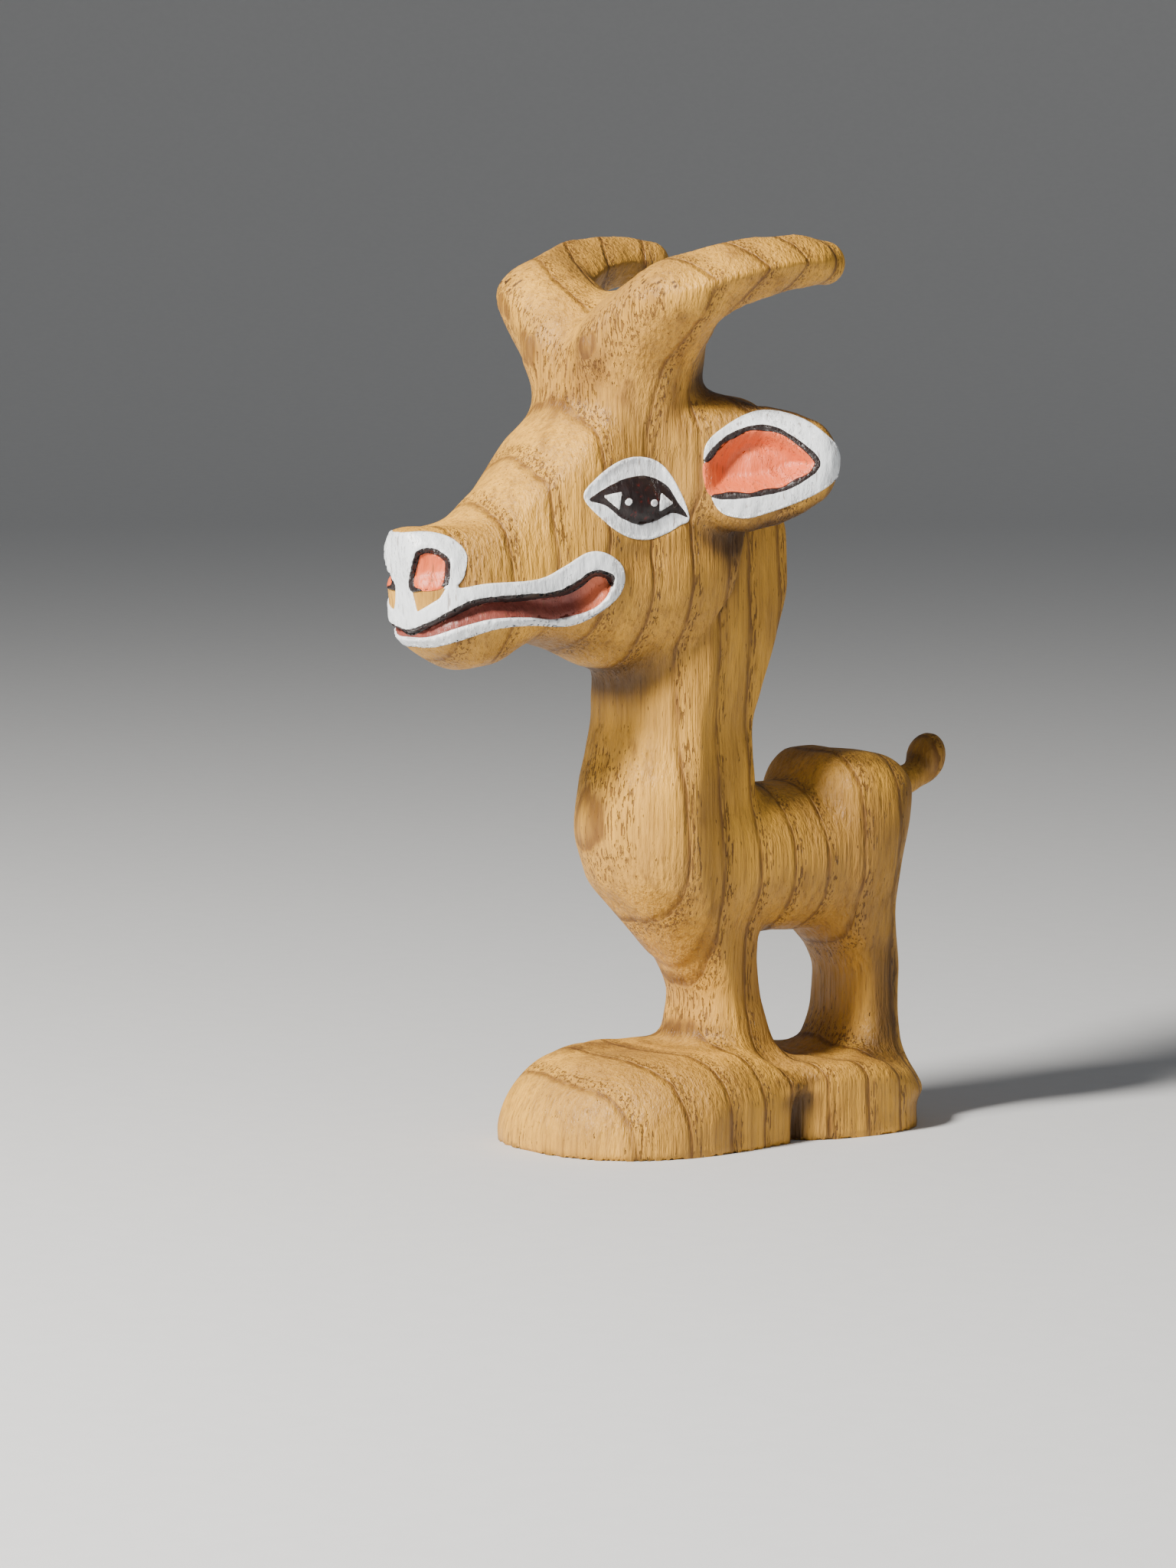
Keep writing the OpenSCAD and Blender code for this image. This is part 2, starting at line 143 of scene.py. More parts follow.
EAR_CUP = [(4.2, 75), (6.5, 77.3), (10, 78.4), (13, 77.5), (16.4, 74.5), (13.8, 72), (9.8, 70.9),
           (5.2, 70.7), (4, 72.6)]

# Stage, in metres and degrees: the camera looks at the figure from the face's side, a little down.
CAMERA_PLACE = (0.5050, -0.3638, 0.0956)
CAMERA_DIP = 5.2
CAMERA_LENS = 131.3
LIGHT_TARGET = (0, 0, 0.05)
# Round floor, in millimetres.
COVE_SIDES = 96
COVE_START, COVE_WIDTH, COVE_RISE = 1500, 900, 600
# Thickness of the salmon and brown paint in the hollows.
LINING_DEPTH = 0.12
SIDES = ((1, "left"), (-1, "right"))
# Colours that show through the paint or in it.
WOOD_UNDER_PAINT, WOOD_UNDER_BLACK = "6E4B2A", "2A1B14"
MOUTH_CORNER_SALMON, IRIS_RED = "DB6E48", "6B1A12"


# ---- curves and fields

def along_face(x, y):
    """The outlines' own level measure, the same for both sides."""
    return np.abs(x) * FACE_C + y * FACE_S


def table_value(xs, ys, x):
    """Monotone cubic through a table's points."""
    xs, ys = np.asarray(xs, float), np.asarray(ys, float)
    h = np.diff(xs)
    d = np.diff(ys) / h
    a, b = d[:-1], d[1:]
    same = a * b > 0
    a1, b1 = np.where(same, a, 1), np.where(same, b, 1)
    m = np.zeros_like(ys)
    lean = (2 * h[1:] + h[:-1]) / a1 + (h[1:] + 2 * h[:-1]) / b1
    m[1:-1] = np.where(same, 3 * (h[:-1] + h[1:]) / lean, 0)
    m[0], m[-1] = d[0], d[-1]
    xc = np.clip(x, xs[0], xs[-1])
    i = np.clip(np.searchsorted(xs, xc) - 1, 0, len(h) - 1)
    t = (xc - xs[i]) / h[i]
    t2, t3 = t * t, t * t * t
    return (2 * t3 - 3 * t2 + 1) * ys[i] + (t3 - 2 * t2 + t) * h[i] * m[i] \
        + (3 * t2 - 2 * t3) * ys[i + 1] + (t3 - t2) * h[i] * m[i + 1]


def smooth_min(a, b, k):
    h = np.clip(0.5 + 0.5 * (b - a) / k, 0, 1)
    return b + (a - b) * h - k * h * (1 - h)


def smooth_max(a, b, k):
    return -smooth_min(-a, -b, k)


def ramp(t):
    """0 to 1 with level ends."""
    t = np.clip(t, 0, 1)
    return t * t * (3 - 2 * t)


def round_curve(points, closed=True, steps=7):
    """Catmull-Rom line through 2D points."""
    p = np.asarray(points, float)
    n = len(p)
    if closed:
        a, b, c, d = (np.roll(p, k, 0) for k in (1, 0, -1, -2))
    else:
        e = np.vstack([p[0], p, p[-1]])
        a, b, c, d = e[:n - 1], e[1:n], e[2:n + 1], np.vstack([e[3:n + 1], e[-1:]])
    t = (np.arange(steps) / steps)[None, :, None]
    a, b, c, d = (q[:, None] for q in (a, b, c, d))
    line = 0.5 * (2 * b + (c - a) * t + (2 * a - 5 * b + 4 * c - d) * t ** 2
                  + (3 * b - 3 * c + d - a) * t ** 3)
    line = line.reshape(-1, 2)
    return line if closed else np.vstack([line, p[-1]])


def line_distance(line, s, z, closed):
    """Distance from points to a 2D line."""
    a = line
    b = np.roll(line, -1, 0)
    if not closed:
        a, b = a[:-1], b[:-1]
    best = np.full(s.shape, 1e9)
    for (ax, az), (bx, bz) in zip(a, b):
        ux, uz = bx - ax, bz - az
        t = np.clip(((s - ax) * ux + (z - az) * uz) / max(ux * ux + uz * uz, 1e-12), 0, 1)
        best = np.minimum(best, (s - ax - t * ux) ** 2 + (z - az - t * uz) ** 2)
    return np.sqrt(best)


def inside_depth(line, s, z):
    """Distance inside a closed 2D line, negative outside it."""
    odd = np.zeros(s.shape, bool)
    for (ax, az), (bx, bz) in zip(line, np.roll(line, -1, 0)):
        if az != bz:
            odd ^= ((az > z) != (bz > z)) & (s < ax + (z - az) * (bx - ax) / (bz - az))
    d = line_distance(line, s, z, True)
    return np.where(odd, d, -d)


MUZZLE_LINE = round_curve(MUZZLE)
MOUTH_LINE = round_curve(MOUTH_TOP + MOUTH_BOTTOM)
MOUTH_TOP_LINE = round_curve(MOUTH_TOP, False)
MOUTH_BOTTOM_LINE = round_curve(MOUTH_BOTTOM, False)
NOSTRIL_LINE = round_curve(NOSTRIL)
WEDGE_LINE = np.array(WEDGE, float)
EYE_CORNER_LINES = [np.array(corner, float) for corner in EYE_CORNERS]
EYE_LINE = round_curve(EYE)
EYE_BLACK_LINE = round_curve(EYE_BLACK)
EAR_LINE = round_curve(EAR)
EAR_CUP_LINE = round_curve(EAR_CUP)
EAR_RIM_LINE = round_curve(EAR_CUP[:8], False)


# ---- the carved form

def loft(u, v, w, table, power):
    """Distance-like value of a form given by sections along w, with u and v across it."""
    rows = np.array(table, float)
    cols = [table_value(rows[:, 0], rows[:, j], w) for j in range(1, rows.shape[1])]
    middle, half_u, half_low = cols[:3]
    half_high = cols[3] if len(cols) > 3 else half_low
    dv = v - middle
    half_v = np.where(dv < 0, half_low, half_high)
    r = (np.abs(u / half_u) ** power + np.abs(dv / half_v) ** power) ** (1 / power)
    return (r - 1) * np.minimum(half_u, half_v)


def egg(x, y, z, centre, half, turn=None):
    """Distance-like value of an ellipsoid, with its own axes as the rows of turn."""
    x, y, z = x - centre[0], y - centre[1], z - centre[2]
    if turn is not None:
        x, y, z = (turn[i, 0] * x + turn[i, 1] * y + turn[i, 2] * z for i in range(3))
    k0 = np.sqrt((x / half[0]) ** 2 + (y / half[1]) ** 2 + (z / half[2]) ** 2)
    k1 = np.sqrt((x / half[0] ** 2) ** 2 + (y / half[1] ** 2) ** 2 + (z / half[2] ** 2) ** 2)
    return k0 * (k0 - 1) / np.maximum(k1, 1e-6)


def axes(along, up=(0, 0, 1)):
    """Three crossed unit directions as rows: along, sideways and as near to up as they allow."""
    a = np.array(along, float)
    a /= np.linalg.norm(a)
    u = np.array(up, float)
    c = u - a * (u @ a)
    c /= np.linalg.norm(c)
    return np.array([a, np.cross(c, a), c])


EAR_AXES = axes((.66, .72, .10), (-.05, .1, 1))
EAR_MIDDLE = (12.6, 2.6, 73.4)


def on_ear_axes(ax, y, z):
    """How far points lie out along the ear, behind its middle and above it."""
    return EAR_AXES @ np.stack([ax - EAR_MIDDLE[0], y - EAR_MIDDLE[1], z - EAR_MIDDLE[2]])


def horn_form(x, y, z):
    """Both the horn's broad root and its ridged arm."""
    rows = np.array(HORN, float)
    out = np.full(x.shape, 50.0)
    near = (z > 70) & (y < 18)
    if not near.any():
        return out
    px, py, pz = x[near], y[near], z[near]
    s = np.arange(len(rows))
    root = np.full(px.shape, 50.0)
    for t in np.linspace(0, 2.2, 15):
        c = [table_value(s, rows[:, j], t) for j in range(6)]
        root = np.minimum(root, egg(px, py, pz, c[:3], c[3:]))
    ts = np.linspace(1, len(rows) - 1, 48)
    line = np.stack([table_value(s, rows[:, j], ts) for j in range(6)], -1)
    step = ts[1] - ts[0]
    tangent = np.gradient(line[:, :3], axis=0)
    best, which = np.full(px.shape, 1e9), np.zeros(px.shape, int)
    for i, c in enumerate(line):
        d = (px - c[0]) ** 2 + (py - c[1]) ** 2 + (pz - c[2]) ** 2
        closer = d < best
        best[closer], which[closer] = d[closer], i
    c, g = line[which], tangent[which]
    along = ((px - c[:, 0]) * g[:, 0] + (py - c[:, 1]) * g[:, 1] + (pz - c[:, 2]) * g[:, 2]) / (g ** 2).sum(1)
    t = np.clip(ts[which] + along * step, 1, len(rows) - 1)
    c = np.stack([table_value(s, rows[:, j], t) for j in range(6)], -1)
    g = np.stack([np.interp(t, ts, tangent[:, j]) for j in range(3)], -1)
    g /= np.linalg.norm(g, axis=1, keepdims=True)
    side = np.stack([g[:, 1], -g[:, 0], 0 * t], -1)
    side /= np.linalg.norm(side, axis=1, keepdims=True)
    rise = np.cross(side, g)
    q = np.stack([px, py, pz], -1) - c[:, :3]
    a, b, e = (q * side).sum(1), (q * rise).sum(1), (q * g).sum(1)
    # The ridge on the outer side turns a round section into a blunt wedge
    power = 2 - 0.72 * ramp((t - 1.4) / 1.4) * ramp((6.1 - t) / 1.2)
    ru, rv = c[:, 3] * 1.03, c[:, 5] * 1.03
    r = (np.abs(a / ru) ** power + np.abs(b / rv) ** power) ** (1 / power)
    # Past the line's ends the distance to the end itself rounds the tip off
    arm = np.sqrt((r * rv) ** 2 + np.where(np.abs(e) > 0.02, e, 0) ** 2) - rv
    saddle = np.minimum(*(egg(px, py, pz, *lump) for lump in HORN_SADDLES))
    out[near] = smooth_min(smooth_min(root, saddle, 2.2), arm, 1.0)
    return out


def oval_wall(ax, y, half, middle, length, power=2.5):
    """Upright wall round a blunt oval."""
    return ((np.abs(ax / half) ** power + np.abs((y - middle) / length) ** power) ** (1 / power) - 1) * half


def rounded_top(side, z, top, r):
    """A wall's value with a level top and a round edge of radius r between them."""
    a, b = np.maximum(side + r, 0), np.maximum(z - (top - r), 0)
    return np.sqrt(a * a + b * b) + np.minimum(np.maximum(side + r, z - (top - r)), 0) - r


def feet_form(ax, y, z):
    """The broad front foot, the hind foot and the web between them."""
    wall = np.where(y < -4, oval_wall(ax, y, 14.2, -4, 13.9), ax - np.interp(y, *FOOT_FLANK))
    front = smooth_max(wall, y - 9.2 - z * .08, 1.2)
    front = rounded_top(front, z, FOOT_TOP, np.interp(y, *FOOT_ROUNDING))
    hind = smooth_max(oval_wall(ax, y, 12.5, 18.6, 12.2), 10.3 - z * .1 - y, 0.8)
    hind = rounded_top(hind, z, np.interp(y, *HIND_FOOT_TOP), 2.2)
    web = smooth_max(smooth_max(ax - 9.8, np.abs(y - 9) - 8, 1.5), z - 7.8, 1.5)
    bridge = egg(ax, y, z, *FEET_BRIDGE)
    return smooth_min(smooth_min(smooth_min(front, hind, .6), web, .8), bridge, 1.3)


def face_relief(x, y, z):
    """Depth of the face's carving at each point: positive is cut away, negative swells."""
    depth = np.zeros(x.shape)
    s = along_face(x, y)
    near = (z > 50) & (z < 84) & (y < 14)
    head = near & (y < 4)
    if not near.any():
        return depth
    hs, hz = s[head], z[head]
    d = np.zeros(hs.shape)
    k = (hs > -34) & (hs < -2) & (hz > 52) & (hz < 70)
    ms, mz = hs[k], hz[k]
    inside = inside_depth(MOUTH_LINE, ms, mz)
    top = line_distance(MOUTH_TOP_LINE, ms, mz, False)
    bottom = line_distance(MOUTH_BOTTOM_LINE, ms, mz, False)
    d[k] += np.where(inside > 0, MOUTH_DEPTH * ramp(top / .55) * ramp(bottom / 1.9), 0)
    d[k] -= LIP_SWELL * np.exp(-(np.minimum(inside, 0) / 1.3) ** 2) * (inside < 0)
    hole = inside_depth(NOSTRIL_LINE, ms, mz)
    pocket = NOSTRIL_DEPTH / 2 * (ramp(hole / .5) + ramp(hole / 1.8))
    d[k] += np.where(hole > 0, pocket * ramp((mz - 61.3) / 2.2), 0)
    d[k] -= NOSTRIL_SWELL * np.exp(-(np.minimum(hole, 0) / 1.1) ** 2) * (hole < 0) * ramp((mz - 61) / 3)
    k = (hs > -12) & (hs < 6) & (hz > 63) & (hz < 78)
    es, ez = hs[k], hz[k]
    eye, ball = inside_depth(EYE_LINE, es, ez), inside_depth(EYE_BLACK_LINE, es, ez)
    d[k] += EYE_HOLLOW * ramp((eye + .6) / 1.6) - EYEBALL_RISE * ramp(ball / 1.9)
    for deep, at_s, size_s, at_z, size_z in FACE_HOLLOWS:
        d += deep * np.exp(-(((hs - at_s) / size_s) ** 2 + ((hz - at_z) / size_z) ** 2))
    depth[head] = d
    front = on_ear_axes(np.abs(x[near]), y[near], z[near])[1] < 0.4
    cup = inside_depth(EAR_CUP_LINE, s[near], z[near])
    depth[near] += np.where(front & (cup > 0), EAR_DEPTH * ramp(cup / 2.7), 0)
    return depth


def column_form(ax, y, z):
    """Front leg, chest and neck in one."""
    column = loft(ax, y, z, COLUMN, 2.3)
    rows = np.array(COLUMN)
    middle, half = (table_value(rows[:, 0], rows[:, j], z) for j in (1, 2))
    # The neck's side behind is one long flat cut, and its front stands a little proud of it
    column = smooth_max(column, ax * .970 + (y - middle) * .242 - half * .888, .15)
    ledge = ramp((.9 - y) / .7) * ramp((y + 8) / 6) * ramp((z - 15) / 6) * ramp((68 - z) / 4)
    return smooth_max(smooth_max(column - .38 * ledge, z - NECK_TOP, 3), LEG_BOTTOM - z, 1)


def head_form(ax, y, z):
    """The head, with straight cuts on the bridge of the nose, on the brow and along the jaw's back."""
    head = loft(ax, z, y, HEAD, 2.6)
    crown = ax * ax * .034
    bridge = smooth_min(z * .744 - y * .668 + crown - BRIDGE_REACH, z - NOSE_TOP, 1.2)
    head = smooth_max(head, bridge, .7)
    brow_y, brow_reach = BROW_PLACE
    head = smooth_max(head, z * .963 - (y - brow_y) * .27 + crown * .5 - brow_reach, .9)
    head = smooth_max(head, (y - np.interp(z, *JAW_BACK)) * .95, .45)
    head = smooth_max(head, NOSE_FRONT - y + np.maximum(64.5 - z, 0) * .14 - (z - 61) * .04, .7)
    return smooth_max(head, y - HEAD_BACK, 3)


def trunk_form(ax, y, z):
    """Barrel, haunch and hind leg."""
    start, end = BARREL_ENDS
    barrel = loft(ax, z, y, BARREL, 2.2)
    barrel = smooth_max(smooth_max(barrel, start - y, 1), y - end, 2)
    haunch = loft(ax, y, z, HAUNCH, 2.6)
    rows = np.array(HAUNCH)
    middle, half, deep = (table_value(rows[:, 0], rows[:, j], z) for j in (1, 2, 3))
    haunch = smooth_max(haunch, ax * .6 + (y - middle) * .8 - (half * .6 + deep * .8) * .80, .4)
    haunch = smooth_max(smooth_max(haunch, z - np.interp(y, *RUMP_TOP), 2.4), LEG_BOTTOM - z, 1)
    return smooth_min(barrel, haunch, 1.2)


def temple_form(ax, y, z):
    """Swelling over the ear's root."""
    return egg(ax, y, z, *TEMPLE)


def ear_form(ax, y, z):
    """The broad flat ear, before its bowl is cut."""
    start, end = EAR_ENDS
    a, b, c = on_ear_axes(ax, y, z)
    tall, deep = np.interp(a, *EAR_TALL), np.interp(a, *EAR_DEEP)
    ear = (np.sqrt((c / tall) ** 2 + (b / deep) ** 2) - 1) * np.minimum(tall, deep)
    return smooth_max(smooth_max(ear, a - end, 2.4), start - a, 1.)


def tail_form(ax, y, z):
    """The short raised tail with its knob."""
    knob = egg(ax, y, z, *TAIL_KNOB, axes((1, 0, 0), (0, .25, 1)))
    stem = egg(ax, y, z, *TAIL_STEM, axes((1, 0, 0), (0, -.35, 1)))
    return smooth_min(knob, stem, 1.2)


def wood_form(x, y, z, relief=True):
    """Distance-like value of the whole carving at points in millimetres: negative inside the wood."""
    relief_depth = face_relief(x, y, z) if relief else 0
    z = z / STRETCH
    ax = np.abs(x)
    # Under the jaw the head runs softly into the neck, and behind it there is a sharp step
    d = smooth_min(head_form(ax, y, z), column_form(ax, y, z), 0.6 + 2.4 * ramp((1 - y) / 8))
    for part, blend in ((trunk_form, 1.6), (feet_form, 2.0), (horn_form, 3.4), (temple_form, 2.0),
                        (ear_form, 1.3), (tail_form, 1.6)):
        d = smooth_min(d, part(ax, y, z), blend)
    return smooth_max(d + relief_depth, -z, .3)


def waver(p, seed, lengths, size):
    """Gentle uneven value over space, made of a few crossed waves."""
    rng = np.random.default_rng(seed)
    out = np.zeros(len(p))
    for length in lengths:
        direction = rng.normal(size=3)
        direction /= np.linalg.norm(direction)
        out += np.sin(p @ direction * (2 * math.pi / length) + rng.uniform(0, 6.28))
    return out * size / math.sqrt(len(lengths))


def steps_between(marks, sizes):
    """Grid positions from the first mark to the last with the given spacing in each stretch."""
    out = [marks[0]]
    for a, b, h in zip(marks[:-1], marks[1:], sizes):
        n = max(1, round((b - a) / h))
        out.extend(a + (b - a) * np.arange(1, n + 1) / n)
    return np.array(out)


def field_on_grid(xs, ys, zs):
    """The form's value on a grid, worked out in full only near its skin."""
    coarse = [np.linspace(g[0], g[-1], max(3, int((g[-1] - g[0]) / 1.3))) for g in (xs, ys, zs)]
    grid = np.meshgrid(*coarse, indexing="ij")
    rough = wood_form(*(g.ravel() for g in grid), relief=False).reshape(grid[0].shape)
    for axis, (g, c) in enumerate(zip((xs, ys, zs), coarse)):
        t = (g - c[0]) / (c[1] - c[0])
        i = np.clip(t.astype(int), 0, len(c) - 2)
        f = (t - i).reshape([-1 if k == axis else 1 for k in range(3)])
        rough = np.take(rough, i, axis) * (1 - f) + np.take(rough, i + 1, axis) * f
    near = np.argwhere((rough > -3.6) & (rough < 1.5))
    rough[tuple(near.T)] = wood_form(xs[near[:, 0]], ys[near[:, 1]], zs[near[:, 2]])
    return rough


def skin_of(values, xs, ys, zs):
    """Closed quad skin where the values change sign, one point in each cell that it crosses."""
    inside = values < 0
    shape = tuple(n - 1 for n in values.shape)
    count = np.zeros(shape, np.int8)
    corners = [(i, j, k) for i in (0, 1) for j in (0, 1) for k in (0, 1)]
    for i, j, k in corners:
        count += inside[i:i + shape[0], j:j + shape[1], k:k + shape[2]]
    cells = np.argwhere((count > 0) & (count < 8))
    number = -np.ones(shape, np.int64)
    number[tuple(cells.T)] = np.arange(len(cells))
    total, hits = np.zeros((len(cells), 3)), np.zeros(len(cells))
    for a in range(8):
        for b in range(a + 1, 8):
            ca, cb = np.array(corners[a]), np.array(corners[b])
            if np.abs(ca - cb).sum() != 1:
                continue
            va, vb = (values[tuple((cells + c).T)] for c in (ca, cb))
            cross = (va < 0) != (vb < 0)
            t = np.where(cross, va / np.where(cross, va - vb, 1), 0)
            total[cross] += (ca + t[:, None] * (cb - ca))[cross]
            hits[cross] += 1
    place = cells + total / hits[:, None]
    points = np.stack([np.interp(place[:, i], np.arange(len(g)), g) for i, g in enumerate((xs, ys, zs))], -1)
    quads = []
    for axis in range(3):
        low = [slice(None)] * 3
        high = [slice(None)] * 3
        low[axis], high[axis] = slice(0, -1), slice(1, None)
        a, b = inside[tuple(low)], inside[tuple(high)]
        span = [slice(1, -1)] * 3
        span[axis] = slice(None)
        edges = np.argwhere((a != b)[tuple(span)])
        others = [i for i in range(3) if i != axis]
        for o in others:
            edges[:, o] += 1

        def cell(d0, d1):
            at = edges.copy()
            at[:, others[0]] -= d0
            at[:, others[1]] -= d1
            return number[tuple(at.T)]
        q = np.stack([cell(1, 1), cell(0, 1), cell(0, 0), cell(1, 0)], -1)
        turn = a[tuple(edges.T)] == (axis != 1)
        quads.append(np.where(turn[:, None], q, q[:, ::-1]))
    return points, np.concatenate(quads)


def slope_of(p):
    """How the form's value changes along each axis."""
    e = 0.05
    return np.stack([wood_form(*(p + e * d).T) - wood_form(*(p - e * d).T) for d in np.eye(3)], -1) / (2 * e)


def carve_wood():
    """Points, quads and the painted-shade value of the finished carving, which says how enclosed by the
    carving each point is.
    """
    half = steps_between([HEAD_GRID / 2, 22.6], [HEAD_GRID])
    xs = np.concatenate([-half[::-1], half])
    ys = steps_between([-37, 14.5, 40.5], [HEAD_GRID, BODY_GRID])
    zs = steps_between([-1.2, 54, 100.2], [BODY_GRID, HEAD_GRID])
    side = field_on_grid(half, ys, zs)
    points, quads = skin_of(np.concatenate([side[::-1], side]), xs, ys, zs)
    for _ in range(2):
        g = slope_of(points)
        size = np.maximum((g ** 2).sum(1), 0.15)
        move = -g * (wood_form(*points.T) / size)[:, None]
        move /= np.maximum(np.linalg.norm(move, axis=1, keepdims=True) / 0.3, 1)
        points = points + move
    g = slope_of(points)
    normal = g / np.maximum(np.linalg.norm(g, axis=1, keepdims=True), 1e-6)
    # Painted shade: how enclosed each point is, sampled out along its normal at three reaches. The wood's
    # colour is darkened by it where shade falls in the hollows.
    recess_shade = np.zeros(len(points))
    for reach in (1.2, 2.6, 5.0):
        recess_shade += np.clip(1 - wood_form(*(points + normal * reach).T, relief=reach < 2) / reach, 0, 1) / 3
    soft = waver(points, 4, (11, 9, 8, 7, 6.2, 5.4, 4.6, 4.1), 0.085)
    sole = ramp(points[:, 2] / 1.5)
    points = points + normal * (soft * sole)[:, None]
    points[:, 2] = np.where(points[:, 2] < SOLE_HEIGHT, 0, points[:, 2])
    return points, quads, recess_shade


# ---- meshes

def new_mesh(name, points_mm, faces, attributes=None):
    """Object at the origin with its place in its mesh."""
    mesh = bpy.data.meshes.new(name)
    faces = np.asarray(faces)
    sides = faces.shape[1]
    mesh.vertices.add(len(points_mm))
    mesh.vertices.foreach_set("co", (np.asarray(points_mm) * MM).astype(np.float32).ravel())
    mesh.loops.add(faces.size)
    mesh.loops.foreach_set("vertex_index", faces.astype(np.int32).ravel())
    mesh.polygons.add(len(faces))
    mesh.polygons.foreach_set("loop_start", (np.arange(len(faces)) * sides).astype(np.int32))
    for key, values in (attributes or {}).items():
        mesh.attributes.new(key, "FLOAT", "POINT").data.foreach_set("value", values.astype(np.float32))
    mesh.update(calc_edges=True)
    mesh.validate()
    mesh.polygons.foreach_set("use_smooth", np.ones(len(mesh.polygons), bool))
    obj = bpy.data.objects.new(name, mesh)
    bpy.context.scene.collection.objects.link(obj)
    return obj


def wood_skin():
    """Points, triangles and normals of the finished wood, in millimetres."""
    obj = bpy.data.objects.get("wood_figure")
    if obj is None:
        raise RuntimeError("build the wood before the paint")
    mesh = obj.data
    mesh.calc_loop_triangles()
    p = np.zeros(len(mesh.vertices) * 3)
    mesh.vertices.foreach_get("co", p)
    n = np.zeros(len(mesh.vertices) * 3, np.float32)
    mesh.vertex_normals.foreach_get("vector", n)
    t = np.zeros(len(mesh.loop_triangles) * 3, np.int32)
    mesh.loop_triangles.foreach_get("vertices", t)
    return p.reshape(-1, 3) / MM, t.reshape(-1, 3).astype(np.int64), n.reshape(-1, 3).astype(float)


def keep_used(data, tris):
    """Drops the points that no triangle uses."""
    used, back = np.unique(tris, return_inverse=True)
    return data[used], back.reshape(-1, 3)


def split_in_four(data, tris):
    """Each triangle becomes four, with new points half way along its edges."""
    edges = np.sort(np.stack([tris, np.roll(tris, -1, 1)], -1).reshape(-1, 2), 1)
    each, back = np.unique(edges, axis=0, return_inverse=True)
    middle = (data[each[:, 0]] + data[each[:, 1]]) / 2
    m = back.reshape(-1, 3) + len(data)
    a, b, c = tris.T
    ab, bc, ca = m.T
    out = np.concatenate([np.stack(t, -1) for t in ((a, ab, ca), (ab, b, bc), (ca, bc, c), (ab, bc, ca))])
    return np.vstack([data, middle]), out


def cut_along(data, tris, value, level, keep_both):
    """Cuts triangles where value passes level, and drops what is below it unless both sides stay."""
    v = value(data) - level
    v = np.where(np.abs(v) < 0.018, 0.0, v)
    above = v >= 0
    n = above[tris].sum(1)
    parts, rest = [tris[n == 3]], [tris[n == 0]]
    new_points, base = [], len(data)
    mixed = tris[(n == 1) | (n == 2)]
    if len(mixed):
        lone_above = above[mixed].sum(1) == 1
        # Turn each mixed triangle so that its lone corner comes first
        lone = np.argmax(above[mixed] == lone_above[:, None], 1)
        order = (lone[:, None] + np.arange(3)) % 3
        t = np.take_along_axis(mixed, order, 1)
        edges = np.concatenate([np.sort(t[:, [0, 1]], 1), np.sort(t[:, [0, 2]], 1)])
        each, back = np.unique(edges, axis=0, return_inverse=True)
        back = back.ravel()
        va, vb = v[each[:, 0]], v[each[:, 1]]
        f = va / (va - vb)
        new_points.append(data[each[:, 0]] + (data[each[:, 1]] - data[each[:, 0]]) * f[:, None])
        ab, ac = back[:len(t)] + base, back[len(t):] + base
        a, b, c = t.T
        tip = np.stack([a, ab, ac], -1)
        base_pair = np.concatenate([np.stack([ab, b, c], -1), np.stack([ab, c, ac], -1)])
        two = np.concatenate([lone_above, lone_above])
        parts += [tip[lone_above], base_pair[~two]]
        rest += [tip[~lone_above], base_pair[two]]
    data = np.vstack([data] + new_points)
    out = np.concatenate(parts + (rest if keep_both else []))
    return keep_used(data, out)


def paint_coat(name, value, thickness, mask, edge=0.24, sink=0.06, extra=None):
    """Closed coat of paint on the wood where value(s, z) is positive, with a rounded edge."""
    p, tris, n = wood_skin()
    near = mask(p, along_face(p[:, 0], p[:, 1]))
    data, part = keep_used(np.hstack([p, n]), tris[near[tris].all(1)])

    def field(d):
        return value(along_face(d[:, 0], d[:, 1]), d[:, 2])
    part = part[(field(data)[part] > -0.6).any(1)]
    data, part = keep_used(data, part)
    data, part = split_in_four(data, part)
    data, part = cut_along(data, part, field, 0, False)
    for level in (edge * .12, edge * .45, edge):
        data, part = cut_along(data, part, field, level, True)
    edges = np.stack([part, np.roll(part, -1, 1)], -1).reshape(-1, 2)
    code, twin = edges[:, 0] * len(data) + edges[:, 1], edges[:, 1] * len(data) + edges[:, 0]
    rim = edges[~np.isin(code, twin)]
    normal = data[:, 3:] / np.linalg.norm(data[:, 3:], axis=1, keepdims=True)
    inward = np.clip(field(data) / edge, 0, 1)
    inward[np.unique(rim)] = 0
    height = thickness * (0.12 + 0.88 * np.sqrt(1 - (1 - inward) ** 2))
    height *= 1 + waver(data[:, :3], 7, (2.6, 1.9, 1.4, 1.1, .8), 0.16) * inward
    top = data[:, :3] + normal * height[:, None]
    low = data[:, :3] - normal * sink
    count = len(data)
    a, b = rim.T
    walls = np.concatenate([np.stack([b, a, a + count], -1), np.stack([b, a + count, b + count], -1)])
    faces = np.concatenate([part, part[:, ::-1] + count, walls])
    attributes = {}
    for key, make in (extra or {}).items():
        attributes[key] = np.tile(make(along_face(data[:, 0], data[:, 1]), data[:, 2]), 2)
    return new_mesh(name, np.vstack([top, low]), faces, attributes)


def on_head(side):
    """Wood that the face outlines are painted on: side is 1 for the left, -1 for the right, 0 for both."""
    def mask(p, s):
        k = (p[:, 2] > 53) & (p[:, 2] < 78) & (s < 4.5) & (p[:, 1] < 2)
        return k & (p[:, 0] * side > 0) if side else k
    return mask


def on_ear(side):
    """Front and edge of the ear, where its outlines are painted."""
    def mask(p, s):
        out, behind, _ = on_ear_axes(p[:, 0] * side, p[:, 1], p[:, 2] / STRETCH)
        return (behind < 0.9) & (out > -9.5) & (p[:, 2] > 66) & (p[:, 2] < 82)
    return mask


# ---- materials

